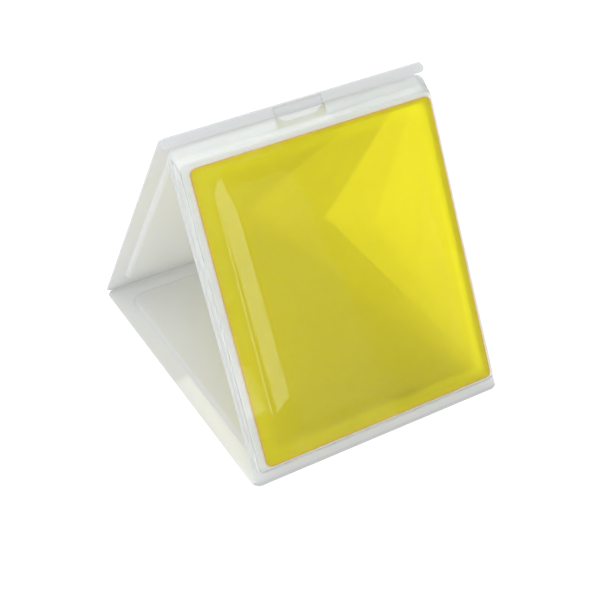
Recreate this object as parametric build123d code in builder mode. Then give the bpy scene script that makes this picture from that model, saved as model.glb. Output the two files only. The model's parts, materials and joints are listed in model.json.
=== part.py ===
from build123d import *
from math import atan, cos, degrees, radians, sin
import os

# Delta insect trap: a tent of three formed plastic panels, open at both ends.
# The front panel is a shallow tray that holds a yellow sheet under a clear cover.
# Millimetres, +Z up. X runs along the ridge and the front panel faces -Y.
# The origin is on the surface that the trap stands on, under the middle of its box.

# ---- driving dimensions ----
LENGTH = 168.0          # along the ridge, from one open end to the other
SIDE = 200.0            # from fold to fold, and from each fold up to the ridge
SLOPE = 60.0            # each panel's angle to the next, in degrees
SHEET = 1.0             # thickness of the milky formed sheet
FORMED_WALL = 0.6       # how much thinner than its flange a formed wall is drawn
CORNER_R = 6.0          # rounded corners of the panels
FLANGE = 10.0           # flat rim round the raised field of the floor and the back
RIDGE_FLANGE = 15.0     # the back's rim is wider at the ridge
FIELD_R = 9.0           # rounded corners of a raised field
FIELD_RISE = 2.5        # how far a raised field stands into the tent
DRAFT = 30.0            # slope of the formed walls, in degrees

FOLD_R = 1.0            # bead of a fold, which its panel turns round
FOLD_NECK = 2.5         # from a fold's axis to the edge of the panel that holds it
GAP = 0.3               # clearance between pieces that move apart

FRONT_WIDTH = 165.2     # the front panel is a little narrower than the floor and the back
COVER_LIP = 0.6         # rim of the front panel that shows round the cover's foot
COVER_LOW = 5.0         # where the cover's lower wall meets the front panel
COVER_HIGH = 194.2      # where its sloping top wall meets the front panel
COVER_TOP_SLOPE = 9.8   # length of that slope along the panel
COVER_DRAFT = 1.4       # how far its two end walls lean in
COVER_FOOT_SLOPE = 2.3  # and its lower wall
COVER_DEPTH_LOW = 4.0   # the tray is a wedge: shallow at the fold
COVER_DEPTH_HIGH = 7.5  # and deep at the ridge
COVER_SHEET = 0.8       # thickness of the clear cover
COVER_R = 5.5           # rounded corners of the cover at its foot
FACE_R = 3.5            # and on its face
CROWN_RISE = 0.8        # the raised field in the middle of the cover
CROWN_R = 14.0
CROWN_TAPER = 60.0
CROWN_SIDE = 12.0       # from the yellow sheet's edges to that field, at the sides and below
CROWN_TOP = 4.5         # and above

YELLOW_WIDTH = 154.6
YELLOW_SHIFT = 2.3      # the sheet lies against the end of the tray that it slides out of
YELLOW_LOW = 8.4
YELLOW_HIGH = 181.6
YELLOW_R = 4.0
YELLOW_THICK = 0.8
YELLOW_GAP = 0.25       # from the sheet to the cover
GLUE_MARGIN = 8.5       # edge of the yellow sheet that carries no glue
GLUE_THICK = 0.25

LEDGE_BACK = 2.5        # from the cover's face back to the step that backs the sheet's edges
LEDGE_SETBACK = 1.8     # foot of that step's wall, from the cover's foot
LEDGE_TOP = 187.4
LEDGE_LAP = 3.0         # how far the step reaches behind the sheet
LEDGE_R = 4.0
RIB_RISE = 0.35         # guide ribs on that step, which the sheet slides along
RIB_WIDTH = 1.6
RIB_INSET = 1.5         # from the sheet's edge to the middle of a rib
SLOT_PLAY = 0.6         # room round the sheet in the slot that it slides out of

RAIL_LOW = 194.7        # lower edge of the rail that the back panel bends into
RAIL_R = 2.4
TAB_WIDTH = 30.0        # tuck tab at the ridge
TAB_TIP_WIDTH = 20.0
TAB_LOW = 190.2
TAB_THICK = 0.8
TAB_SET = 0.1           # the tab lies this far behind the rail's inner face
TAB_R = 1.5
TAB_ROOM = 2.4          # notch below the tab's tip, so that it can be pressed in

LURE_X = 30.0           # middle of the lure, towards the +X end
LURE_FROM_FOLD = 18.0   # and how far it lies behind the front fold
LURE_LENGTH = 17.0
LURE_R = 1.7
LURE_WALL = 0.45
PLUG_LENGTH = 2.0
PLUG_CAP = 0.8
CORE_GAP = 0.1          # round the core, and twice that at its ends
PLUG_GAP = 0.02
CLIP_LENGTH = 6.0
CLIP_WIDTH = 5.6
CLIP_PAD = 0.8
CLIP_WALL = 0.7
CLIP_PLAY = 0.05
CLIP_MOUTH = 0.75       # opening above the tube, as a share of its diameter

# ---- places worked out from them ----
RISE, RUN = sin(radians(SLOPE)), cos(radians(SLOPE))
face_low, face_high = COVER_LOW + COVER_FOOT_SLOPE, COVER_HIGH - COVER_TOP_SLOPE
WEDGE = (COVER_DEPTH_HIGH - COVER_DEPTH_LOW) / (face_high - face_low)
FRONT_Y, BACK_Y = -SIDE / 2, SIDE / 2
FOLD_LENGTH = LENGTH - 2 * CORNER_R         # the folds stop short of the round corners
edge = FOLD_R + GAP                         # a panel's own edge, from its fold

# Each panel's own plane starts at its fold: x along it, y up it.
# z points out of the tent for the front, and into it for the floor and the back.
front = Plane(origin=(0, FRONT_Y, FOLD_R), x_dir=(1, 0, 0), z_dir=(0, -RISE, RUN))
back = Plane(origin=(0, BACK_Y, FOLD_R), x_dir=(1, 0, 0), z_dir=(0, -RISE, -RUN))
ground = Plane(origin=(0, 0, FOLD_R), x_dir=(1, 0, 0), z_dir=(0, 0, 1))
ridge = (0, FOLD_R + SIDE * RISE)

# The cover's face tilts out from the front panel, and the yellow sheet lies parallel to it.
front_face = front.offset(SHEET)
cover_foot = front_face.offset(COVER_DEPTH_LOW - face_low * WEDGE)
cover_face = cover_foot.rotated((degrees(atan(WEDGE)), 0, 0))

os.makedirs("parts", exist_ok=True)


def rounded(plane, width, low, high, radius, middle=0):
    """A rounded rectangle on a panel's plane, from low to high up the panel."""
    with BuildSketch(plane) as outline:
        with Locations((middle, (low + high) / 2)):
            RectangleRounded(width, high - low, radius)
    return outline.sketch


def formed(plane, low, high, field_low, field_high):
    """A formed panel: a flat flange under plane, and a raised field pushed along its z."""
    wall = FORMED_WALL
    width = LENGTH - 2 * FLANGE
    extrude(rounded(plane.offset(-SHEET), LENGTH, low, high, CORNER_R), amount=SHEET)
    field = rounded(plane, width, field_low, field_high, FIELD_R)
    extrude(field, amount=FIELD_RISE, taper=DRAFT)
    hollow = rounded(
        plane.offset(-SHEET), width - 2 * wall, field_low + wall, field_high - wall, FIELD_R - wall
    )
    extrude(hollow, amount=FIELD_RISE, taper=DRAFT, mode=Mode.SUBTRACT)


def tray(base, face, inset, shell):
    """A tray's block between two planes, drawn in by inset, with a long slope at the top."""
    width = FRONT_WIDTH - 2 * COVER_LIP - 2 * inset
    foot = rounded(base, width, COVER_LOW + inset, COVER_HIGH - 2 * inset, COVER_R)
    top = rounded(face, width - 2 * COVER_DRAFT, face_low + inset, face_high - inset, FACE_R)
    loft(sections=[foot, top], mode=shell)


def ledge(base, face, inset, shell):
    """The block of the front panel's raised step, drawn in by inset."""
    low, high = COVER_LOW + LEDGE_SETBACK + inset, LEDGE_TOP - inset
    width = FRONT_WIDTH - 2 * COVER_LIP - 2 * LEDGE_SETBACK - 2 * inset
    foot = rounded(base, width, low, high, LEDGE_R)
    top = rounded(face, width - 2 * SHEET, low + SHEET, high - 2 * SHEET, LEDGE_R - SHEET)
    loft(sections=[foot, top], mode=shell)


# ---- floor panel: the tent stands on its flange ----
span = SIDE / 2 - FOLD_NECK
with BuildPart() as floor_panel:
    formed(ground, -span, span, FLANGE - span, span - FLANGE)

# ---- folds: a bead on each fold line, with a neck to the floor's edge ----
with BuildPart() as front_fold:
    with BuildSketch(Plane.YZ.offset(-FOLD_LENGTH / 2)):
        with Locations((FRONT_Y, FOLD_R)):
            Circle(FOLD_R)
        with Locations((FRONT_Y + FOLD_NECK / 2, FOLD_R - SHEET / 2)):
            Rectangle(FOLD_NECK, SHEET)
    extrude(amount=FOLD_LENGTH)

with BuildPart() as back_fold:
    with BuildSketch(Plane.YZ.offset(-FOLD_LENGTH / 2)):
        with Locations((BACK_Y, FOLD_R)):
            Circle(FOLD_R)
        with Locations((BACK_Y - FOLD_NECK / 2, FOLD_R - SHEET / 2)):
            Rectangle(FOLD_NECK, SHEET)
    extrude(amount=FOLD_LENGTH)

# ---- back panel: raised field inside, and a rail bent over the ridge to the front ----
notch_width = TAB_WIDTH + 4 * GAP
with BuildPart() as back_panel:
    formed(back, edge, SIDE, edge + FLANGE, SIDE - RIDGE_FLANGE)
    with BuildSketch(front):
        with Locations((0, (RAIL_LOW + SIDE) / 2)):
            RectangleRounded(LENGTH, SIDE - RAIL_LOW, RAIL_R)
        with Locations((0, RAIL_LOW)):
            Rectangle(notch_width, 2 * (SIDE - RAIL_LOW), mode=Mode.SUBTRACT)
    extrude(amount=SHEET)
    with BuildSketch(Plane.YZ.offset(-FOLD_LENGTH / 2)):
        with Locations(ridge):
            Circle(FOLD_R)
    extrude(amount=FOLD_LENGTH)

# ---- tuck tab: hinged on the ridge, with its tip behind the cover's top slope ----
with BuildPart() as latch_tab:
    with BuildSketch(front.offset(-TAB_SET)):
        with BuildLine():
            Polyline(
                (-TAB_WIDTH / 2, SIDE - edge),
                (-TAB_WIDTH / 2, RAIL_LOW),
                (-TAB_TIP_WIDTH / 2, TAB_LOW),
                (TAB_TIP_WIDTH / 2, TAB_LOW),
                (TAB_WIDTH / 2, RAIL_LOW),
                (TAB_WIDTH / 2, SIDE - edge),
                close=True,
            )
        make_face()
        fillet(vertices().group_by(Axis.Y)[0], radius=TAB_R)
    extrude(amount=TAB_THICK)

# ---- front panel: flange, walls and a step round a window ----
ledge_face = cover_face.offset(-LEDGE_BACK)
window = rounded(
    front.offset(-SHEET),
    YELLOW_WIDTH - 2 * LEDGE_LAP,
    YELLOW_LOW + LEDGE_LAP,
    YELLOW_HIGH - LEDGE_LAP,
    YELLOW_R,
    YELLOW_SHIFT,
)
with BuildPart() as front_panel:
    extrude(rounded(front, FRONT_WIDTH, edge, RAIL_LOW - GAP, CORNER_R), amount=SHEET)
    ledge(front_face, ledge_face, 0, Mode.ADD)
    ledge(front, ledge_face.offset(-SHEET), FORMED_WALL, Mode.SUBTRACT)
    extrude(window, amount=2 * COVER_DEPTH_HIGH, mode=Mode.SUBTRACT)
    for rib_v in (YELLOW_LOW + RIB_INSET, YELLOW_HIGH - RIB_INSET):
        with BuildSketch(ledge_face):
            with Locations((YELLOW_SHIFT, rib_v)):
                SlotOverall(YELLOW_WIDTH - 2 * LEDGE_LAP, RIB_WIDTH)
        extrude(amount=RIB_RISE)
    with BuildSketch(front):
        with Locations((0, COVER_HIGH)):
            Rectangle(TAB_WIDTH + 6 * GAP, 2 * (COVER_HIGH - TAB_LOW + TAB_ROOM))
    extrude(amount=SHEET, mode=Mode.SUBTRACT)

# ---- clear cover: a thin tray turned over the yellow sheet, slotted at the +X end ----
inner_face = cover_face.offset(-COVER_SHEET)
crown_low, crown_high = YELLOW_LOW + CROWN_SIDE, YELLOW_HIGH - CROWN_TOP
crown_width = YELLOW_WIDTH - 2 * CROWN_SIDE
yellow_face = inner_face.offset(-YELLOW_GAP)
yellow_back = yellow_face.offset(-YELLOW_THICK)
with BuildPart() as front_cover:
    tray(front_face, cover_face, 0, Mode.ADD)
    crown = rounded(cover_face, crown_width, crown_low, crown_high, CROWN_R)
    extrude(crown, amount=CROWN_RISE, taper=CROWN_TAPER)
    tray(front_face, inner_face, COVER_SHEET, Mode.SUBTRACT)
    wall = COVER_SHEET / 2
    hollow = rounded(
        inner_face, crown_width - 2 * wall, crown_low + wall, crown_high - wall, CROWN_R - wall
    )
    extrude(hollow, amount=CROWN_RISE, taper=CROWN_TAPER, mode=Mode.SUBTRACT)
    with BuildSketch(yellow_back.offset(-2 * GLUE_THICK)):
        with Locations((LENGTH / 2, (YELLOW_LOW + YELLOW_HIGH) / 2)):
            Rectangle(4 * YELLOW_R, YELLOW_HIGH - YELLOW_LOW + 2 * SLOT_PLAY)
    extrude(amount=YELLOW_THICK + YELLOW_GAP + 2 * GLUE_THICK, mode=Mode.SUBTRACT)

# ---- yellow sheet and the glue on its inner face ----
with BuildPart() as yellow_sheet:
    sheet = rounded(yellow_back, YELLOW_WIDTH, YELLOW_LOW, YELLOW_HIGH, YELLOW_R, YELLOW_SHIFT)
    extrude(sheet, amount=YELLOW_THICK)

with BuildPart() as glue_layer:
    glue = rounded(
        yellow_back.offset(-GLUE_THICK),
        YELLOW_WIDTH - 2 * GLUE_MARGIN,
        YELLOW_LOW + GLUE_MARGIN,
        YELLOW_HIGH - GLUE_MARGIN,
        YELLOW_R,
        YELLOW_SHIFT,
    )
    extrude(glue, amount=GLUE_THICK)

# ---- lure: a sealed tube with a loaded core, lying in a clip on the floor ----
floor_top = FOLD_R + FIELD_RISE
clip_r = LURE_R + CLIP_PLAY
bore_r = LURE_R - LURE_WALL
lure_y = FRONT_Y + LURE_FROM_FOLD
lure_z = floor_top + CLIP_PAD + clip_r
lure_start = Plane.YZ.offset(LURE_X - LURE_LENGTH / 2)

with BuildPart() as lure_tube:
    with BuildSketch(lure_start):
        with Locations((lure_y, lure_z)):
            Circle(LURE_R)
            Circle(bore_r, mode=Mode.SUBTRACT)
    extrude(amount=LURE_LENGTH)

with BuildPart() as lure_core:
    with BuildSketch(lure_start.offset(PLUG_LENGTH + 2 * CORE_GAP)):
        with Locations((lure_y, lure_z)):
            Circle(bore_r - CORE_GAP)
    extrude(amount=LURE_LENGTH - 2 * PLUG_LENGTH - 4 * CORE_GAP)

with BuildPart() as lure_end_plugs:
    for start in (0, LURE_LENGTH - PLUG_LENGTH):
        with BuildSketch(lure_start.offset(start)):
            with Locations((lure_y, lure_z)):
                Circle(bore_r - PLUG_GAP)
        extrude(amount=PLUG_LENGTH)
    for end in (-1, 1):
        with BuildSketch(Plane.YZ.offset(LURE_X + end * LURE_LENGTH / 2)):
            with Locations((lure_y, lure_z)):
                Circle(LURE_R)
        extrude(amount=end * PLUG_CAP)

mouth_height = 3 * clip_r
with BuildPart() as lure_clip:
    with BuildSketch(Plane.YZ.offset(LURE_X - CLIP_LENGTH / 2)):
        with Locations((lure_y, lure_z)):
            Circle(clip_r + CLIP_WALL)
        with Locations((lure_y, floor_top + CLIP_PAD / 2)):
            Rectangle(CLIP_WIDTH, CLIP_PAD)
        with Locations((lure_y, lure_z)):
            Circle(clip_r, mode=Mode.SUBTRACT)
        with Locations((lure_y, lure_z + clip_r / 2 + mouth_height / 2)):
            Rectangle(2 * clip_r * CLIP_MOUTH, mouth_height, mode=Mode.SUBTRACT)
        with Locations((lure_y, floor_top - CLIP_WALL / 2)):
            Rectangle(CLIP_WIDTH, CLIP_WALL, mode=Mode.SUBTRACT)
    extrude(amount=CLIP_LENGTH)

pieces = {
    "floor_panel": floor_panel,
    "front_fold": front_fold,
    "back_fold": back_fold,
    "back_panel": back_panel,
    "latch_tab": latch_tab,
    "front_panel": front_panel,
    "front_cover": front_cover,
    "yellow_sheet": yellow_sheet,
    "glue_layer": glue_layer,
    "lure_clip": lure_clip,
    "lure_tube": lure_tube,
    "lure_core": lure_core,
    "lure_end_plugs": lure_end_plugs,
}
for label, piece in pieces.items():
    piece.part.label = label
    export_step(piece.part, f"parts/{label}.step")
    box = piece.part.bounding_box()
    print(f"{label:16} {len(piece.part.solids())} solid(s)  {box.min}  {box.max}")
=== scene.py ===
# %% [markdown]
# # A delta insect trap in thin formed plastic
# The trap is a tent of three formed sheets. The floor and the back are milky plastic. The front is
# a milky frame that carries a yellow sticky sheet under a crisp clear cover.
# The frame below is the trap's own design: its bodies, joints and plain solids. Everything here is
# built on it, in metres, so a piece goes where its fold line says.

# %% Load the frame
import json
import math

import bmesh
import bpy
from mathutils import Matrix, Vector


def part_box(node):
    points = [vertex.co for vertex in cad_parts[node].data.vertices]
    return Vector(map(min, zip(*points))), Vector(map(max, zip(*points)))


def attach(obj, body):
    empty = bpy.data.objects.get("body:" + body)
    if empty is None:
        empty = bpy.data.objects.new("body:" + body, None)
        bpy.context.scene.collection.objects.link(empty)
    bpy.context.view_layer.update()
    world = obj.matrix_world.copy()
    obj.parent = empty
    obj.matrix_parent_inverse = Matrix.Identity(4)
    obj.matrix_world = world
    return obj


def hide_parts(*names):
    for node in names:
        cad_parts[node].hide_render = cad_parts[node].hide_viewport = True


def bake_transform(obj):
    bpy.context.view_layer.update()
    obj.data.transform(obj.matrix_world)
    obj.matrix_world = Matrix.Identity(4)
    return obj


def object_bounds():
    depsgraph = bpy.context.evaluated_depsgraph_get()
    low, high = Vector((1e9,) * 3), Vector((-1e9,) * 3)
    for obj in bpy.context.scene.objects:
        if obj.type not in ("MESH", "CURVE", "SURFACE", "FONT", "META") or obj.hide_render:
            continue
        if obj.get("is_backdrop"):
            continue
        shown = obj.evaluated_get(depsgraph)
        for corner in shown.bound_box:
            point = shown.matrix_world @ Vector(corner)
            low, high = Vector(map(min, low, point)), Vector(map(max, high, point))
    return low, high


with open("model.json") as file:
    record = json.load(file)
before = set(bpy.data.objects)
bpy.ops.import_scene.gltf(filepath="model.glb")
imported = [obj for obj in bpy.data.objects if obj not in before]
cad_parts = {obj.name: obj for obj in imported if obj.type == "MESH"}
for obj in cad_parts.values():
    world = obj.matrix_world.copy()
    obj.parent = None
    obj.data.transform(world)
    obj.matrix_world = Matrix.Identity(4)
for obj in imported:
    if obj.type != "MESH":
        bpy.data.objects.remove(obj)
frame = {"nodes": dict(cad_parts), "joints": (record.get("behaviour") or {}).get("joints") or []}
cad_low, cad_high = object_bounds()
MM = 0.001
print("box of the plain model", [round(v, 4) for v in (*cad_low, *cad_high)])

# %% [markdown]
# ## Fold lines and panel planes
# Each panel hangs on a fold line, which is the axis of a joint in the frame. A sheet is easiest to
# shape lying flat, with x along the fold, y up the panel and z out of the tent, so each panel gets
# a matrix that carries that flat drawing to its place.

# %% Panel planes
joints = {joint["name"]: joint for joint in frame["joints"]}
front_fold_line = Vector(joints["front_panel_open"]["pos_m"])
back_fold_line = Vector(joints["back_panel_open"]["pos_m"])
ridge_line = Vector(joints["latch_tab_flex"]["pos_m"])
SIDE = (ridge_line - front_fold_line).length


def panel_plane(fold, up, out):
    """A matrix from a flat drawing to the panel that starts at fold and rises along up."""
    across = up.cross(out)
    rows = zip(across, up, out, fold)
    return Matrix([*(list(row) for row in rows), [0, 0, 0, 1]])


ALONG = Vector((1, 0, 0))
front_up = (ridge_line - front_fold_line).normalized()
back_up = (ridge_line - back_fold_line).normalized()
middle_y = (front_fold_line.y + back_fold_line.y) / 2
floor_middle = Vector((0, middle_y, front_fold_line.z))
FRONT = panel_plane(front_fold_line, front_up, ALONG.cross(front_up))
BACK = panel_plane(back_fold_line, back_up, back_up.cross(ALONG))
FLOOR = panel_plane(floor_middle, Vector((0, -1, 0)), Vector((0, 0, -1)))
print(f"each side is {SIDE / MM:.1f} mm from fold to ridge")

# %% [markdown]
# ## Sizes from the plain solids
# The plain solids say how far each sheet reaches. Their corners are read in a panel's flat drawing.
# The cover is deeper at the top than at the foot, so the yellow sheet lies in a tilted plane of its
# own, which comes from its largest face.

# %% Sizes


def reach(node, plane):
    """A plain solid's lowest and highest corner in a panel's flat drawing."""
    flat = plane.inverted()
    points = [flat @ v.co for v in frame["nodes"][node].data.vertices]
    return [Vector([pick(p[i] for p in points) for i in range(3)]) for pick in (min, max)]


def tilted_face(node):
    """The plane of a flat node's outer face. Its origin is abreast of the front fold line."""
    mesh = frame["nodes"][node].data
    out = max(mesh.polygons, key=lambda polygon: polygon.area).normal.copy()
    if out.dot(ALONG.cross(front_up)) < 0:
        out.negate()
    proud = max((v.co - front_fold_line).dot(out) for v in mesh.vertices)
    return panel_plane(front_fold_line + out * proud, out.cross(ALONG), out)


FACE = tilted_face("yellow_sheet")
ON_FRONT = FRONT.inverted() @ FACE
cover_low, cover_high = reach("front_cover", FRONT)
sheet_low, sheet_high = reach("yellow_sheet", FACE)
panel_low, panel_high = reach("front_panel", FRONT)
floor_low, floor_high = reach("floor_panel", FLOOR)
LENGTH = floor_high.x - floor_low.x
print(f"ridge {LENGTH / MM:.1f} mm long, cover {cover_high.z / MM:.1f} mm proud at the top")

# %% [markdown]
# ## Modelling by hand, in code
# An operator acts on what is selected, so each step first selects faces, edges or corners by their
# place. These few helpers start a piece in edit mode, select in it, add and apply a modifier, and
# carry the finished piece to its panel, where it takes over from its plain solid.

# %% Helpers for every piece


def start_piece(name):
    """An empty mesh in edit mode, with everything else deselected."""
    bpy.ops.object.select_all(action="DESELECT")
    bpy.ops.object.add(type="MESH")
    piece = bpy.context.object
    piece.name = name
    bpy.ops.object.mode_set(mode="EDIT")
    bpy.ops.mesh.select_mode(type="VERT")
    return piece


def select(piece, verts=None, edges=None, faces=None):
    """Selects what passes the given test, in edit mode, and nothing else."""
    bpy.ops.mesh.select_all(action="DESELECT")
    mode = "VERT" if verts else "EDGE" if edges else "FACE"
    bpy.ops.mesh.select_mode(type=mode)
    mesh = bmesh.from_edit_mesh(piece.data)
    test = verts or edges or faces
    items = mesh.verts if verts else mesh.edges if edges else mesh.faces
    items.index_update()
    for item in items:
        if test(item):
            item.select_set(True)
    mesh.select_flush_mode()
    bmesh.update_edit_mesh(piece.data)


def modify(piece, kind, **settings):
    """Adds one modifier with its settings and applies it."""
    bpy.context.view_layer.objects.active = piece
    modifier = piece.modifiers.new(kind.title(), kind)
    for name, value in settings.items():
        setattr(modifier, name, value)
    bpy.ops.object.modifier_apply(modifier=modifier.name)


def thicken(piece, gauge, rim, segments=2):
    """Gives a flat or formed sheet its gauge, inwards from its outer face, and rounds its rim."""
    modify(piece, "SOLIDIFY", thickness=gauge, offset=-1.0)
    modify(piece, "BEVEL", width=rim, segments=segments, limit_method="ANGLE", angle_limit=1.2)


def put(piece, plane, body, slot, *nodes):
    """Carries a flat-drawn piece to its panel, smooths it, hangs it on its body and hides its plain
    solids.
    """
    if bpy.context.mode != "OBJECT":
        bpy.ops.object.mode_set(mode="OBJECT")
    bpy.ops.object.select_all(action="DESELECT")
    piece.select_set(True)
    bpy.context.view_layer.objects.active = piece
    piece.matrix_world = plane
    bpy.ops.object.transform_apply(location=True, rotation=True, scale=True)
    bpy.ops.object.shade_smooth_by_angle(angle=0.6)
    modify(piece, "WEIGHTED_NORMAL", keep_sharp=True)
    if body:
        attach(piece, body)
    if nodes:
        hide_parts(*nodes)
    print(f"{piece.name}: {len(piece.data.polygons)} faces")
    return piece


print("helpers ready:", start_piece.__name__, select.__name__, modify.__name__, put.__name__)

# %% [markdown]
# ## How a formed sheet is built
# A formed sheet is a stack of rounded outlines at rising heights, like the lines of a map. Each
# outline starts as a plane whose corners are bevelled. Bridging one outline to the next makes the
# walls, a bevel softens every step as the hot sheet does, and Solidify gives the sheet its gauge.
# A grid pushed into shape would do too, but its corners would need far more faces.

# %% Formed sheets
CORNER_STEPS = 8
RING = 4 * (CORNER_STEPS + 1)
CORNER_R = 6.0 * MM
HAIR = 0.01 * MM


def outline(width, low, high, radius, height, plane=None, middle=0.0):
    """One rounded outline added to the piece in edit mode, with its face."""
    centre = (middle, (low + high) / 2, height)
    bpy.ops.mesh.primitive_plane_add(size=1, location=centre)
    bpy.ops.transform.resize(value=(width, high - low, 1), center_override=centre)
    bpy.ops.mesh.bevel(offset=radius, segments=CORNER_STEPS, affect="VERTICES")
    if plane:
        mesh = bmesh.from_edit_mesh(bpy.context.object.data)
        for vert in mesh.verts:
            if vert.select:
                vert.co = plane @ vert.co
        bmesh.update_edit_mesh(bpy.context.object.data)


def formed_sheet(name, levels, window=False):
    """A sheet bridged through rounded outlines, left in edit mode. A window stays open."""
    piece = start_piece(name)
    for level in levels:
        outline(*level)
        bpy.ops.mesh.delete(type="ONLY_FACE")
    for step in range(len(levels) - 1):
        pair = range(step * RING, (step + 2) * RING)
        select(
            piece,
            edges=lambda e: len(e.link_faces) < 2 and all(v.index in pair for v in e.verts),
        )
        bpy.ops.mesh.bridge_edge_loops()
    if not window:
        top = (len(levels) - 1) * RING
        select(piece, edges=lambda e: all(v.index >= top for v in e.verts))
        bpy.ops.mesh.edge_face_add()
    bpy.ops.mesh.select_all(action="SELECT")
    bpy.ops.mesh.normals_make_consistent(inside=False)
    mesh = bmesh.from_edit_mesh(piece.data)
    if sum(face.normal.z * face.calc_area() for face in mesh.faces) < 0:
        bpy.ops.mesh.flip_normals()
    return piece


def tighten(piece, width, edge, radius):
    """Gives the two corners on one edge of a panel's flange a tighter radius."""
    scale = radius / CORNER_R
    for side in (-1, 1):
        select(
            piece,
            verts=lambda v: v.index < RING
            and side * v.co.x > 0
            and abs(v.co.y - edge) < CORNER_R + HAIR,
        )
        corner = (side * width / 2, edge, 0)
        bpy.ops.transform.resize(value=(scale, scale, 1), center_override=corner)


def soften(piece, radius, gauge):
    """Rounds the steps of a formed sheet, then gives it its gauge."""
    bpy.ops.object.mode_set(mode="OBJECT")
    modify(
        piece,
        "BEVEL",
        width=radius,
        segments=4,
        limit_method="ANGLE",
        angle_limit=0.2,
        use_clamp_overlap=True,
    )
    thicken(piece, gauge, 0.15 * MM)


print("an outline has", RING, "corners")

# %% [markdown]
# ## The floor
# The floor is a flat flange with rounded corners and a field pushed up into the tent, which makes a
# thin sheet stiff. Its corners are tighter at the folds, where the web carries the rounding on.

# %% Floor sheet
SHEET = 1.0 * MM
FLANGE = 10.6 * MM
FIELD_RISE = 2.5 * MM
FIELD_R = 9.0 * MM
STEP_R = 0.9 * MM
WALL_RUN = FIELD_RISE * math.tan(math.radians(30))


def panel_levels(low, high, field_low, field_high):
    """The outlines of a panel's outer face: flange, foot of the wall and field."""
    field, field_z = LENGTH - 2 * FLANGE, SHEET - FIELD_RISE
    inner_low, inner_high = field_low + WALL_RUN, field_high - WALL_RUN
    return [
        (LENGTH, low, high, CORNER_R, SHEET),
        (field, field_low, field_high, FIELD_R, SHEET),
        (field - 2 * WALL_RUN, inner_low, inner_high, FIELD_R - WALL_RUN, field_z),
    ]


floor_sheet = formed_sheet(
    "floor_sheet",
    panel_levels(floor_low.y, floor_high.y, floor_low.y + FLANGE, floor_high.y - FLANGE),
)
for fold_edge in (floor_low.y, floor_high.y):
    tighten(floor_sheet, LENGTH, fold_edge, 0.5 * MM)
soften(floor_sheet, STEP_R, SHEET)
put(floor_sheet, FLOOR, "floor", "milky_plastic", "floor_panel")

# %% [markdown]
# ## The back, with its ridge and rail
# The back is formed like the floor and goes on past its top edge. That edge is rolled round the
# ridge and drawn down the front as a rail, in short steps whose widths follow a half circle, so the
# rail ends in a smooth bulb.

# %% Rolling an edge


def roll(points, widths):
    """Extrudes the selected straight edge from point to point, with a width at each of them."""
    for step in range(1, len(points)):
        move = points[step] - points[step - 1]
        bpy.ops.mesh.extrude_region_move(TRANSFORM_OT_translate={"value": move})
        bpy.ops.transform.resize(value=(widths[step] / widths[step - 1], 1, 1))


def bend(arm, angle, steps):
    """Points on an arc round the x axis, from the end of an arm through an angle."""
    turns = (Matrix.Rotation(angle * step / steps, 3, "X") for step in range(steps + 1))
    return [turn @ arm for turn in turns]


BEND = math.radians(120)
BEND_STEPS = 12
print(f"a fold turns {math.degrees(BEND):.0f} degrees in {BEND_STEPS} steps")

# %% Back sheet, ridge and rail
EDGE = 1.3 * MM
TOP_FLANGE = 4.4 * MM
RAIL_LOW = 194.7 * MM
RAIL_R = 2.4 * MM
RAIL_STEPS = 14
back_sheet = formed_sheet(
    "back_sheet", panel_levels(EDGE, SIDE, EDGE + FLANGE, SIDE - FLANGE - TOP_FLANGE)
)
tighten(back_sheet, LENGTH, SIDE, RAIL_R)
tighten(back_sheet, LENGTH, EDGE, 1.2 * MM)
narrow = LENGTH - 2 * RAIL_R
points = bend(Vector((0, 0, SHEET)), -BEND, BEND_STEPS)
widths = [narrow] * len(points)
rail_root = points[-1]
rail_drop = BACK.to_3x3().inverted() @ -front_up * (SIDE - RAIL_LOW)
for step in range(1, RAIL_STEPS + 1):
    angle = math.pi * step / RAIL_STEPS
    points.append(rail_root + rail_drop * (1 - math.cos(angle)) / 2)
    widths.append(narrow + 2 * RAIL_R * math.sin(angle))
select(
    back_sheet,
    edges=lambda e: all(v.index < RING and v.co.y > SIDE - HAIR for v in e.verts),
)
roll(points, widths)
print(f"rail {rail_drop.length / MM:.1f} mm deep, {max(widths) / MM:.1f} mm wide")

# %% [markdown]
# The rail is notched in the middle, where the tuck tab hangs. The notch is cut with two bisects
# while the sheet has no gauge yet, since a Boolean on the finished shell is easily broken.

# %% Notch for the tab
NOTCH_HALF = 15.6 * MM


def on_rail(face):
    """Whether a face is on the front side of the ridge, in the back's flat drawing."""
    return all(v.co.y > SIDE - 1.5 * MM and v.co.z < -0.49 * SHEET for v in face.verts)


for side in (-1, 1):
    select(back_sheet, faces=on_rail)
    bpy.ops.mesh.bisect(plane_co=(side * NOTCH_HALF, 0, 0), plane_no=(1, 0, 0))
select(back_sheet, faces=lambda f: on_rail(f) and abs(f.calc_center_median().x) < NOTCH_HALF)
bpy.ops.mesh.delete(type="FACE")
soften(back_sheet, STEP_R, 0.97 * SHEET)
put(back_sheet, BACK, "back", "milky_plastic", "back_panel")

# %% [markdown] ## The folds A fold is a thin web of the same sheet, drawn from the floor's edge,
# round the fold line and on to the foot of a panel. Its ends follow one circle, so that floor, web
# and panel share a round corner.

# %% Fold webs
WEB = 0.6 * MM
FOLD_NECK = 2.5 * MM
NECK_STEPS, FOOT_STEPS = 5, 3


def straight_edge(piece, centre, length):
    """Adds one straight edge along x to a piece in edit mode, and selects it."""
    bpy.ops.mesh.primitive_plane_add(size=length, location=centre + Vector((0, length / 2, 0)))
    select(piece, verts=lambda v: v.co.y > centre.y + length / 2)
    bpy.ops.mesh.delete(type="VERT")
    bpy.ops.mesh.select_all(action="SELECT")


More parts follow.
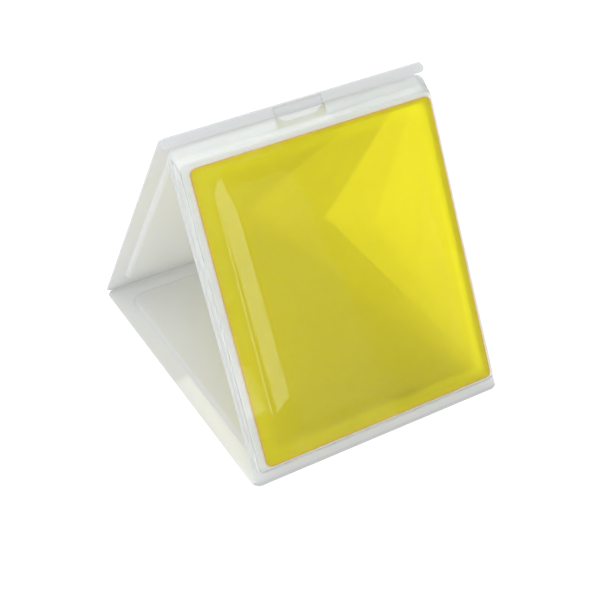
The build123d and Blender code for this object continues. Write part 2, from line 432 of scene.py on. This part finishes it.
def web_widths(points):
    """A web's width at each point, so that its ends follow the panels' corner circle."""
    steps = [(b - a).length for a, b in zip(points, points[1:])]
    middle = NECK_STEPS + BEND_STEPS // 2
    runs = [sum(steps[min(i, middle) : max(i, middle)]) for i in range(len(points))]
    chords = [2 * math.sqrt(CORNER_R**2 - (CORNER_R - run) ** 2) for run in runs]
    return [LENGTH - 2 * CORNER_R + chord for chord in chords]


def finish_shell(piece, centre, gauge):
    """Thickens an open rolled shell towards its centre line."""
    bpy.ops.mesh.select_all(action="SELECT")
    bpy.ops.mesh.normals_make_consistent(inside=False)
    bpy.ops.object.mode_set(mode="OBJECT")
    face = piece.data.polygons[len(piece.data.polygons) // 2]
    offset = -1.0 if (face.center - centre).dot(face.normal) > 0 else 1.0
    modify(piece, "SOLIDIFY", thickness=gauge, offset=offset, use_even_offset=True)


def fold_web(name, plane, fold, towards_floor, node):
    """A web from the floor's edge round a fold line to the foot of a panel."""
    neck = Vector((0, towards_floor * FOLD_NECK, 0))
    below = Vector((0, 0, -SHEET))
    foot = plane.to_3x3() @ Vector((0, EDGE, 0))
    points = [below + neck * (1 - step / NECK_STEPS) for step in range(NECK_STEPS)]
    points += bend(below, -towards_floor * BEND, BEND_STEPS)
    points += [points[-1] + foot * step / FOOT_STEPS for step in range(1, FOOT_STEPS + 1)]
    widths = web_widths(points)
    piece = start_piece(name)
    straight_edge(piece, fold + points[0], widths[0])
    roll(points, widths)
    finish_shell(piece, fold, WEB)
    put(piece, Matrix.Identity(4), None, "milky_plastic", node)
    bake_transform(piece)
    return piece


front_web = fold_web("front_web", FRONT, front_fold_line, 1, "front_fold")
back_web = fold_web("back_web", BACK, back_fold_line, -1, "back_fold")

# %% [markdown]
# ## The front frame
# The frame is milky like the floor, with a window in the middle. A ledge round the window backs the
# edges of the yellow sheet. The innermost outline is a hair lower than the ledge, because two
# outlines in one plane can be bridged with a twist.

# %% Front frame
COVER_LIP = 0.6 * MM
COVER_SHEET = 0.8 * MM
COVER_GAP = 0.25 * MM
LEDGE_BACK = 2.5 * MM
LEDGE_LAP = 3.0 * MM
LEDGE_WALL = 1.8 * MM
LEDGE_TOP = 187.4 * MM
LEDGE_FALL = 0.1 * MM
LEDGE_R = 4.0 * MM
front_width = panel_high.x - panel_low.x
sheet_width = sheet_high.x - sheet_low.x
sheet_middle = (sheet_high.x + sheet_low.x) / 2
face_z = COVER_GAP + COVER_SHEET
ledge_z = face_z - LEDGE_BACK
foot_width, foot_low = front_width - 2 * COVER_LIP - 2 * LEDGE_WALL, cover_low.y + LEDGE_WALL
ledge_width, ledge_low = foot_width - 2 * SHEET, foot_low + SHEET
ledge_high = LEDGE_TOP - 2 * SHEET
window_width = sheet_width - 2 * LEDGE_LAP
window_low, window_high = sheet_low.y + LEDGE_LAP, sheet_high.y - LEDGE_LAP
window_z = ledge_z - LEDGE_FALL
frame_levels = [
    (front_width, EDGE, panel_high.y, CORNER_R, SHEET),
    (foot_width, foot_low, LEDGE_TOP, LEDGE_R, SHEET),
    (ledge_width, ledge_low, ledge_high, LEDGE_R - SHEET, ledge_z, ON_FRONT),
    (window_width, window_low, window_high, LEDGE_R, window_z, ON_FRONT, sheet_middle),
]
front_frame = formed_sheet("front_frame", frame_levels, window=True)
tighten(front_frame, front_width, EDGE, 0.4 * MM)
print(f"window {window_width / MM:.1f} mm wide")

# %% [markdown]
# The frame's top flange is cut away where the tuck tab passes through.

# %% Room for the tab
TAB_HALF = 15.9 * MM
TAB_ROOM = 0.4 * MM
notch_low = LEDGE_TOP + TAB_ROOM


def on_top_flange(face):
    """Whether a face of the front frame lies on the flat strip above the ledge."""
    return all(v.co.y > LEDGE_TOP - HAIR and abs(v.co.z - SHEET) < HAIR for v in face.verts)


def in_notch(face):
    """Whether a face of the top flange is to be cut away for the tuck tab."""
    middle = face.calc_center_median()
    return on_top_flange(face) and abs(middle.x) < TAB_HALF and middle.y > notch_low


sides = [((side * TAB_HALF, 0, 0), (1, 0, 0)) for side in (-1, 1)]
for point, across in (*sides, ((0, notch_low, 0), (0, 1, 0))):
    select(front_frame, faces=on_top_flange)
    bpy.ops.mesh.bisect(plane_co=point, plane_no=across)
select(front_frame, faces=in_notch)
bpy.ops.mesh.delete(type="FACE")
soften(front_frame, 0.6 * MM, 0.9 * SHEET)
put(front_frame, FRONT, "front", "milky_plastic", "front_panel")

# %% [markdown]
# ## The clear cover
# The cover is a deeper tray with a long slope at the top. Its field crowns gently, so that it
# catches soft upright highlights. Each pair below is a step in from the crown's foot and the rise
# there, in millimetres.

# %% Clear cover
COVER_DRAFT = 1.4 * MM
FOOT_SLOPE = 2.3 * MM
TOP_SLOPE = 9.8 * MM
COVER_R, FACE_R, CROWN_R = 5.5 * MM, 3.5 * MM, 14 * MM
CROWN_SIDE, CROWN_TOP = 12 * MM, 4.5 * MM
CROWN = ((0, 0), (1.5, 0.12), (4, 0.3), (8, 0.52), (12, 0.67), (17, 0.76), (24, 0.8))
cover_width = cover_high.x - cover_low.x
face_width = cover_width - 2 * COVER_DRAFT
face_low, face_high = cover_low.y + FOOT_SLOPE, cover_high.y - TOP_SLOPE
cover_levels = [
    (cover_width, cover_low.y, cover_high.y, COVER_R, SHEET),
    (face_width, face_low, face_high, FACE_R, face_z, ON_FRONT),
]
for inset, rise in CROWN:
    side = CROWN_SIDE + inset * MM
    low, high = sheet_low.y + side, sheet_high.y - CROWN_TOP - inset * MM
    level = (sheet_width - 2 * side, low, high, CROWN_R, face_z + rise * MM, ON_FRONT)
    cover_levels.append(level)
clear_cover = formed_sheet("clear_cover", cover_levels)
soften(clear_cover, 0.7 * MM, COVER_SHEET)
put(clear_cover, FRONT, "front", "clear_plastic", "front_cover")

# %% [markdown]
# The cover's side wall has a slot that the yellow sheet slides out through. It is cut with a box,
# a little roomier than the sheet.

# %% Slot in the cover's side
SLOT_ROOM = 0.6 * MM
SLOT_DEPTH = 5.5 * MM
sheet_thick = sheet_high.z - sheet_low.z


def cut(piece, plane, low, high):
    """Cuts a box out of a piece, from low to high in a panel's flat drawing."""
    bpy.ops.object.select_all(action="DESELECT")
    bpy.ops.mesh.primitive_cube_add(size=1)
    tool = bpy.context.object
    tool.matrix_world = plane @ Matrix.Translation((low + high) / 2)
    tool.scale = high - low
    bpy.context.view_layer.update()
    modify(piece, "BOOLEAN", object=tool, operation="DIFFERENCE", solver="EXACT")
    bpy.data.objects.remove(tool)


slot_y = sheet_low.y - SLOT_ROOM, sheet_high.y + SLOT_ROOM
slot_low = Vector((cover_high.x - SLOT_DEPTH, slot_y[0], -sheet_thick - 0.5 * MM))
slot_high = Vector((cover_high.x + 2 * MM, slot_y[1], COVER_GAP))
cut(clear_cover, FACE, slot_low, slot_high)
print(f"slot {(slot_y[1] - slot_y[0]) / MM:.1f} mm long")

# %% [markdown]
# ## The yellow sheet and its glue
# The sheet's cut edge pipes light, so its rim reads as a thin orange line. The rim is an inset
# ring, and later it gets a material of its own.

# %% Yellow sheet
FILM_R = 4.0 * MM
RIM = 0.7 * MM
yellow_film = start_piece("yellow_film")
outline(sheet_width, sheet_low.y, sheet_high.y, FILM_R, 0, middle=sheet_middle)
bpy.ops.mesh.inset(thickness=RIM)
bpy.ops.object.mode_set(mode="OBJECT")
thicken(yellow_film, sheet_thick, 0.12 * MM)
put(yellow_film, FACE, "sheet", "yellow_plastic", "yellow_sheet")

# %% Glue
glue_low, glue_high = reach("glue_layer", FACE)
glue_film = start_piece("glue_film")
glue_width = glue_high.x - glue_low.x
outline(glue_width, glue_low.y, glue_high.y, FILM_R, glue_high.z, middle=sheet_middle)
bpy.ops.object.mode_set(mode="OBJECT")
thicken(glue_film, glue_high.z - glue_low.z, 0.1 * MM)
put(glue_film, FACE, "sheet", "insect_glue", "glue_layer")

# %% [markdown]
# ## The tuck tab
# The tab hangs from the ridge and tucks in behind the cover's top slope. It narrows to a tip with
# rounded corners.

# %% Tuck tab
TIP_SHARE = 2 / 3
TIP_R = 1.5 * MM
tab_low, tab_high = reach("latch_tab", FRONT)
root_middle = (0, (tab_high.y + RAIL_LOW) / 2, tab_high.z)
root_size = (2 * tab_high.x, tab_high.y - RAIL_LOW, 1)
tuck_tab = start_piece("tuck_tab")
bpy.ops.mesh.primitive_plane_add(size=1, location=root_middle)
bpy.ops.transform.resize(value=root_size, center_override=root_middle)
select(tuck_tab, edges=lambda e: all(v.co.y < RAIL_LOW + HAIR for v in e.verts))
tip_move = (0, tab_low.y - RAIL_LOW, 0)
bpy.ops.mesh.extrude_region_move(TRANSFORM_OT_translate={"value": tip_move})
bpy.ops.transform.resize(value=(TIP_SHARE, 1, 1))
select(tuck_tab, verts=lambda v: v.co.y < tab_low.y + HAIR)
bpy.ops.mesh.bevel(offset=TIP_R, segments=5, affect="VERTICES")
bpy.ops.object.mode_set(mode="OBJECT")
thicken(tuck_tab, tab_high.z - tab_low.z, 0.25 * MM, segments=3)
put(tuck_tab, FRONT, "tab", "milky_plastic", "latch_tab")

# %% [markdown]
# ## The lure
# The lure is a slim sealed tube with a loaded felt core, and it lies in a clip on the floor. The
# round parts are turned from cylinders, which are bevelled and laid along the ridge's direction.

# %% Lure tube and core
TUBE_WALL = 0.45 * MM
TUBE_SIDES = 48
LYING = Matrix.Rotation(math.radians(90), 4, "Y")
tube_low, tube_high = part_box("lure_tube")
core_low, core_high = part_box("lure_core")
lure_middle = (tube_low + tube_high) / 2
lure_r = (tube_high.y - tube_low.y) / 2
bore_r = lure_r - TUBE_WALL
tube_length = tube_high.x - tube_low.x
core_r, core_length = (core_high.y - core_low.y) / 2, core_high.x - core_low.x


def turned(name, radius, length, fill):
    """An upright cylinder, the start of a rod or a tube."""
    bpy.ops.object.select_all(action="DESELECT")
    bpy.ops.mesh.primitive_cylinder_add(
        vertices=TUBE_SIDES, radius=radius, depth=length, end_fill_type=fill
    )
    piece = bpy.context.object
    piece.name = name
    return piece


def round_edges(piece, width, segments):
    """Rounds the ends of a turned part."""
    modify(
        piece, "BEVEL", width=width, segments=segments, limit_method="ANGLE", angle_limit=0.8
    )


def rod(name, centre, radius, length, rounding, slot, *nodes):
    """A solid rod along the ridge's direction, with rounded ends."""
    piece = turned(name, radius, length, "NGON")
    round_edges(piece, rounding, 5)
    return put(piece, Matrix.Translation(centre) @ LYING, "lure", slot, *nodes)


lure_shell = turned("lure_shell", lure_r, tube_length, "NOTHING")
modify(lure_shell, "SOLIDIFY", thickness=TUBE_WALL, offset=-1.0, use_even_offset=True)
round_edges(lure_shell, 0.12 * MM, 2)
put(lure_shell, Matrix.Translation(lure_middle) @ LYING, "lure", "lure_rubber", "lure_tube")
lure_felt = rod(
    "lure_felt", lure_middle, core_r, core_length, 0.15 * MM, "lure_felt", "lure_core"
)

# %% [markdown]
# Each end plug is a domed cap as wide as the tube, with a stem that fits the bore. The caps and
# stems are joined, because both plugs stand for one node of the plain model.

# %% End plugs
STEM = 2.0 * MM
STEM_ROOM = 0.02 * MM
plug_low, plug_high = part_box("lure_end_plugs")
cap = (plug_high.x - plug_low.x - tube_length) / 2
plugs = []
for side in (-1, 1):
    cap_middle = lure_middle + ALONG * side * (tube_length + cap) / 2
    stem_middle = lure_middle + ALONG * side * (tube_length - STEM) / 2
    stem_r = bore_r - STEM_ROOM
    plugs += [
        rod(f"lure_plug_{side}", cap_middle, lure_r, cap, 0.35 * MM, "lure_rubber"),
        rod(f"lure_stem_{side}", stem_middle, stem_r, STEM, 0.1 * MM, "lure_rubber"),
    ]
bpy.ops.object.select_all(action="DESELECT")
for plug in plugs:
    plug.select_set(True)
bpy.context.view_layer.objects.active = plugs[0]
bpy.ops.object.join()
lure_plugs = bpy.context.object
lure_plugs.name = "lure_plugs"
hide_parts("lure_end_plugs")
print(f"{lure_plugs.name}: {len(lure_plugs.data.polygons)} faces")

# %% [markdown]
# The clip is an open ring spun round the tube from one straight edge, on a small pad that is bonded
# to the floor.

# %% Lure clip
CLIP_WALL = 0.7 * MM
CLIP_PAD = 0.8 * MM
CLIP_ROOM = 0.05 * MM
CLIP_OPENING = math.radians(48)
clip_low, clip_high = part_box("lure_clip")
clip_size = clip_high - clip_low
clip_arm = Vector((0, 0, lure_r + CLIP_ROOM + CLIP_WALL))
lip = Matrix.Rotation(CLIP_OPENING, 3, "X") @ clip_arm
lip.x = (clip_low.x + clip_high.x) / 2 - lure_middle.x
lure_clip = start_piece("lure_holder")
straight_edge(lure_clip, lure_middle + lip, clip_size.x)
bpy.ops.mesh.spin(
    steps=36, angle=2 * math.pi - 2 * CLIP_OPENING, center=lure_middle, axis=(1, 0, 0)
)
finish_shell(lure_clip, lure_middle, CLIP_WALL)
bpy.ops.object.select_all(action="DESELECT")
bpy.ops.mesh.primitive_cube_add(size=1)
pad = bpy.context.object
pad.location = (lure_middle.x, lure_middle.y, clip_low.z + CLIP_PAD / 2)
pad.scale = (clip_size.x, clip_size.y, CLIP_PAD)
bpy.ops.object.transform_apply(location=True, rotation=True, scale=True)
lure_clip.select_set(True)
bpy.context.view_layer.objects.active = lure_clip
bpy.ops.object.join()
modify(lure_clip, "BEVEL", width=0.15 * MM, segments=3, limit_method="ANGLE", angle_limit=1.0)
put(lure_clip, Matrix.Identity(4), "floor", "milky_plastic", "lure_clip")

# %% [markdown]
# ## Finishes
# Each finish is a small sum of noises. Wire wraps a socket, so that a material is written as
# arithmetic, and its node method makes any other node.

# %% Wire, the socket that adds up


class Wire:
    """A node socket that can be added, multiplied and fed to other nodes."""

    def __init__(self, tree, socket=None):
        self.tree, self.socket = tree, socket

    def node(self, kind, settings=None, inputs=None, output=0):
        made = self.tree.nodes.new(kind)
        for name, value in (settings or {}).items():
            setattr(made, name, value)
        for name, value in (inputs or {}).items():
            if isinstance(value, Wire):
                self.tree.links.new(value.socket, made.inputs[name])
            else:
                made.inputs[name].default_value = value
        return Wire(self.tree, made.outputs[output] if made.outputs else None)

    def maths(self, operation, first, second):
        return self.node("ShaderNodeMath", {"operation": operation}, {0: first, 1: second})

    def __add__(self, other):
        return self.maths("ADD", self, other)

    def __radd__(self, other):
        return self.maths("ADD", other, self)

    def __rsub__(self, other):
        return self.maths("SUBTRACT", other, self)

    def __mul__(self, other):
        return self.maths("MULTIPLY", self, other)

    def __rmul__(self, other):
        return self.maths("MULTIPLY", other, self)

    def step(self, low, high):
        """Rises smoothly from 0 to 1 as this goes from low to high."""
        inputs = {"Value": self, "From Min": low, "From Max": high}
        return self.node("ShaderNodeMapRange", {"interpolation_type": "SMOOTHSTEP"}, inputs)

    def noise(self, scale, detail=3.0, rough=0.55, stretch=(1, 1, 1), distortion=0.0):
        """A noise at this place, stretched by different scales along its axes."""
        place = self.node("ShaderNodeMapping", None, {"Vector": self, "Scale": stretch})
        inputs = {
            "Vector": place,
            "Scale": scale,
            "Detail": detail,
            "Roughness": rough,
            "Distortion": distortion,
        }
        return self.node("ShaderNodeTexNoise", None, inputs)

    def colours(self, first, second):
        """Mixes two colours by this factor."""
        inputs = {0: self, 6: first, 7: second}
        return self.node("ShaderNodeMix", {"data_type": "RGBA"}, inputs, output=2)

    def bump(self, distance, strength=1.0, normal=None):
        """Turns this height into a normal, on top of another bump if one is given."""
        inputs = {"Height": self, "Distance": distance, "Strength": strength}
        if normal:
            inputs["Normal"] = normal
        return self.node("ShaderNodeBump", None, inputs)

    def shader(self, kind, **inputs):
        """A surface shader of a kind, such as Translucent. An input's name has _ for a space."""
        named = {name.replace("_", " "): value for name, value in inputs.items()}
        return self.node("ShaderNodeBsdf" + kind, None, named)

    def blend(self, factor, first, second):
        """Mixes two shaders: all first at 0, all second at 1."""
        return self.node("ShaderNodeMixShader", None, {0: factor, 1: first, 2: second})


def material(name):
    """A new material: its Wire, its object coordinates and a function that finishes it."""
    made = bpy.data.materials.new(name)
    made.use_nodes = True
    made.node_tree.nodes.clear()
    wire = Wire(made.node_tree)

    def finish(surface):
        wire.node("ShaderNodeOutputMaterial", None, {"Surface": surface})
        return made

    return wire, wire.node("ShaderNodeTexCoord", output=3), finish


def rgb(red, green, blue):
    return (red, green, blue, 1.0)


def paint(made, *pieces):
    """Gives pieces one finish and says so."""
    for piece in pieces:
        piece.data.materials.clear()
        piece.data.materials.append(made)
    print(f"{made.name}, {len(made.node_tree.nodes)} nodes:", *(piece.name for piece in pieces))


print("operations:", *(name for name in vars(Wire) if not name.startswith("_")))

# %% [markdown]
# ### Milky plastic
# Formed polypropylene lets light through and scatters it. A diffuse face and a translucent one are
# mixed for the scatter, and a little plain transparency lets the eye through. Glass with a rough
# surface would look alike, but it hides the lamps from what lies inside. The fold webs get a copy a
# shade darker, which is painted shade for the shadow that falls in the crease of each fold.

# %% Milky plastic


def milky_plastic(name="milky plastic", tone=1.0):
    """Formed polypropylene: cloudy, faintly bluish, with handling scuffs and fine dust."""
    wire, place, finish = material(name)

    # A tone below 1 darkens the whole sheet evenly; the fold webs use it as painted shade.
    def milk(level):
        return rgb(tone * level, tone * (level + 0.01), tone * (level + 0.025))

    cloud = place.noise(14, 4, 0.6)
    grain = place.noise(900, 2, 0.5)
    scuff = place.noise(60, 6, 0.7, (1, 5, 1), 1.4).step(0.56, 0.7)
    dust = place.noise(420, 3, 0.6).step(0.62, 0.72)
    body = cloud.colours(milk(0.80), milk(0.86))
    worn = (scuff * 0.5).colours(body, rgb(0.9, 0.9, 0.89))
    dusty = (dust * 0.25).colours(worn, rgb(0.72, 0.70, 0.64))
    ripple = place.noise(38, 2, 0.4).bump(0.5 * MM, 0.25)
    face = wire.shader(
        "Principled",
        Base_Color=dusty,
        Roughness=0.3 + cloud * 0.12 + scuff * 0.2,
        IOR=1.49,
        Normal=(grain + scuff * 0.4).bump(0.02 * MM, 0.5, ripple),
    )
    glow = wire.shader("Translucent", Color=milk(0.80))
    clear = wire.shader("Transparent", Color=rgb(0.975, 0.98, 0.975))
    cloudy = wire.blend(0.42, face, glow)
    return finish(wire.blend(0.16 + cloud * 0.06, cloudy, clear))


paint(milky_plastic(), floor_sheet, back_sheet, front_frame, tuck_tab, lure_clip)
# The fold webs are painted a shade darker: painted shade for the crease's shadow.
paint(milky_plastic("fold with painted shade", 0.88), front_web, back_web)

# %% [markdown]
# ### Clear plastic
# The cover is thin clear sheet, so it is glass that bends light. Part of it is plainly transparent,
# which softens the dark lines that solid glass shows at its edges. Lamp rays see it as transparent
# all over, so that the lamps light what is behind it.

# %% Clear plastic
CLEAR_SHARE = 0.45


def clear_plastic():
    """Clear formed sheet: glossy, a little wavy, with smudges and hairline scratches."""
    wire, place, finish = material("clear plastic")
    smudge = place.noise(26, 5, 0.65).step(0.45, 0.75)
    scratch = place.noise(300, 4, 0.6, (1, 14, 9), 0.6).step(0.66, 0.76)
    wave = place.noise(18, 2, 0.4).bump(0.6 * MM, 0.22)
    glass = wire.shader(
        "Principled",
        Base_Color=rgb(0.985, 0.995, 0.985),
        Roughness=0.03 + smudge * 0.05 + scratch * 0.06,
        IOR=1.47,
        Transmission_Weight=1.0,
        Normal=scratch.bump(0.01 * MM, 0.35, wave),
    )
    clear = wire.shader("Transparent", Color=rgb(0.95, 0.96, 0.95))
    lamp_ray = wire.node("ShaderNodeLightPath", output=1)
    return finish(wire.blend(lamp_ray * (1 - CLEAR_SHARE) + CLEAR_SHARE, glass, clear))


paint(clear_plastic(), clear_cover)

# %% [markdown]
# ### Yellow sheet and its rim
# The sheet is dyed right through. It glows a little, both from the light that falls on it and from
# the light behind it, and the rest shows the inside of the trap in yellow. Its cut rim is denser
# and more orange.

# %% Yellow sheet and rim


def yellow_plastic():
    """Transparent lemon-yellow sheet with a soft sheen and slight haze."""
    wire, place, finish = material("yellow plastic")
    cloud = place.noise(9, 4, 0.55)
    haze = place.noise(140, 4, 0.6)
    face = wire.shader(
        "Principled",
        Base_Color=cloud.colours(rgb(0.90, 0.80, 0.01), rgb(0.95, 0.88, 0.02)),
        Roughness=0.16 + haze * 0.1,
        IOR=1.5,
        Normal=place.noise(30, 3, 0.5).bump(0.3 * MM, 0.15),
    )
    glow = wire.shader("Translucent", Color=rgb(0.93, 0.88, 0.01))
    clear = wire.shader("Transparent", Color=rgb(0.94, 0.90, 0.08))
    cloudy = wire.blend(0.5, face, glow)
    return finish(wire.blend(0.71 - haze * 0.04, cloudy, clear))


def sheet_rim():
    """The cut edge of the yellow sheet, which pipes light and reads orange."""
    wire, place, finish = material("sheet rim")
    nick = place.noise(500, 3, 0.6).step(0.4, 0.7)
    face = wire.shader(
        "Principled",
        Base_Color=nick.colours(rgb(0.72, 0.42, 0.07), rgb(0.84, 0.56, 0.14)),
        Roughness=0.35 + nick * 0.2,
        Normal=nick.bump(0.03 * MM, 0.4),
    )
    clear = wire.shader("Transparent", Color=rgb(0.90, 0.72, 0.35))
    return finish(wire.blend(0.55, face, clear))


paint(yellow_plastic(), yellow_film)
yellow_film.data.materials.append(sheet_rim())
broad = sheet_width * (sheet_high.y - sheet_low.y) / 2
for polygon in yellow_film.data.polygons:
    polygon.material_index = 0 if polygon.area > broad else 1

# %% [markdown]
# ### Insect glue
# The glue is clear and wet, so it is nearly all transparent. What shows is its uneven, stringy
# shine and the dust that it has caught.

# %% Insect glue


def insect_glue():
    """Clear sticky glue: wet, slightly stringy and uneven, with dust caught in it."""
    wire, place, finish = material("insect glue")
    string = place.noise(70, 5, 0.6, (1, 3, 3), 1.8)
    blob = place.noise(240, 3, 0.5)
    dust = place.noise(700, 2, 0.5).step(0.72, 0.78)
    face = wire.shader(
        "Principled",
        Base_Color=dust.colours(rgb(0.86, 0.74, 0.12), rgb(0.42, 0.33, 0.10)),
        Roughness=0.06 + blob * 0.08,
        IOR=1.5,
        Normal=(string + blob * 0.4).bump(0.15 * MM, 0.5),
    )
    clear = wire.shader("Transparent", Color=rgb(0.985, 0.97, 0.84))
    return finish(wire.blend(0.96 - dust * 0.3, face, clear))


paint(insect_glue(), glue_film)

# %% [markdown]
# ### The lure's rubber and felt
# The tube and plugs are dull olive rubber with a pale bloom. The core is coarse felt.

# %% Lure rubber and felt


def lure_rubber():
    """Dull olive rubber with a bloom and fine pits."""
    wire, place, finish = material("lure rubber")
    bloom = place.noise(320, 4, 0.6)
    pit = place.noise(2600, 2, 0.5)
    rubber = wire.shader(
        "Principled",
        Base_Color=bloom.colours(rgb(0.055, 0.060, 0.030), rgb(0.12, 0.12, 0.07)),
        Roughness=0.55 + bloom * 0.25,
        Normal=(pit + bloom).bump(0.04 * MM, 0.5),
    )
    return finish(rubber)


def lure_wick():
    """Pale felt that soaks up the attractant."""
    wire, place, finish = material("lure felt")
    tuft = place.noise(1800, 5, 0.7)
    felt = wire.shader(
        "Principled",
        Base_Color=tuft.colours(rgb(0.34, 0.30, 0.20), rgb(0.52, 0.47, 0.34)),
        Roughness=0.9,
        Normal=tuft.bump(0.1 * MM, 0.8),
    )
    return finish(felt)


paint(lure_rubber(), lure_shell, lure_plugs)
paint(lure_wick(), lure_felt)

# %% [markdown]
# ## A white table and soft light
# A broad pale table fills the view. It glows faintly, as paper on a light table does, so that it
# stays white behind the milky sheets.

# %% Table
bpy.ops.object.select_all(action="DESELECT")
bpy.ops.mesh.primitive_plane_add(size=40, location=(0, 0, 0))
table = bpy.context.object
table.name = "table"
wire, place, finish = material("white table")
speck = place.noise(60, 3, 0.5)
paper = wire.shader(
    "Principled",
    Base_Color=speck.colours(rgb(0.88, 0.88, 0.88), rgb(0.90, 0.90, 0.90)),
    Roughness=0.6,
    Emission_Color=rgb(1, 1, 1),
    Emission_Strength=0.36,
)
paint(finish(paper), table)
table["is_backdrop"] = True

# %% [markdown]
# Large soft lamps stand above, to the left, behind and in front. Two narrow ones are there to be
# mirrored: the strip draws the upright highlight on the cover and the edge lamp lines its left wall.

# %% Lamps and world


def lamp(name, place, size, power, height=None):
    """A soft rectangular lamp that faces the trap."""
    light = bpy.data.lights.new(name, "AREA")
    light.shape = "RECTANGLE"
    light.size, light.size_y, light.energy = size, height or size, power
    holder = bpy.data.objects.new(name, light)
    bpy.context.scene.collection.objects.link(holder)
    holder.location = place
    aim = Vector((0, 0, 0.06)) - Vector(place)
    holder.rotation_euler = aim.to_track_quat("-Z", "Y").to_euler()
    print(f"{name}: {power} W at {aim.length:.2f} m")


lamp("overhead", (-0.2, 0.3, 1.6), 1.6, 13)
lamp("left", (-1.5, -0.4, 0.9), 1.1, 6)
lamp("behind", (0.5, 1.6, 1.0), 1.4, 4)
lamp("front", (-0.3, -1.1, 1.5), 1.0, 8.5)
lamp("strip", (0.38, -1.5, 0.56), 0.15, 0.75, height=0.55)
lamp("edge", (-0.95, -1.25, 0.32), 0.12, 0.6, height=0.5)
world = bpy.data.worlds.new("studio")
world.use_nodes = True
bpy.context.scene.world = world
world.node_tree.nodes["Background"].inputs["Color"].default_value = rgb(1, 1, 1)
world.node_tree.nodes["Background"].inputs["Strength"].default_value = 0.45

# %% [markdown]
# ## Camera
# A long lens looks down on the trap's left end from the front, so that both the tent's opening and
# the yellow sheet show. It is rolled by a hair, as a camera held by hand would be.

# %% Camera
AZIMUTH, HEIGHT, ROLL = math.radians(-30.8), math.radians(39.4), math.radians(0.6)
away = Vector(
    (
        math.sin(AZIMUTH) * math.cos(HEIGHT),
        -math.cos(AZIMUTH) * math.cos(HEIGHT),
        math.sin(HEIGHT),
    )
)
camera_data = bpy.data.cameras.new("camera")
camera_data.lens, camera_data.sensor_width = 84.3, 36.0
camera = bpy.data.objects.new("camera", camera_data)
bpy.context.scene.collection.objects.link(camera)
camera.location = (-0.3407, middle_y - 0.5781, 0.5823)
turn = away.to_track_quat("Z", "Y").to_matrix() @ Matrix.Rotation(ROLL, 3, "Z")
camera.rotation_euler = turn.to_euler()
bpy.context.scene.camera = camera
bpy.context.scene.view_settings.view_transform = "Standard"
print(f"camera {camera.location.length:.2f} m away, lens {camera_data.lens} mm")

# %% [markdown]
# ## Last measure
# The box of the finished model is measured and set beside the box of the plain one.

# %% Finish
low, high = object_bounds()
{"cad": [list(cad_low), list(cad_high)], "now": [list(low), list(high)]}
print("box of the finished model", [round(v, 4) for v in (*low, *high)])
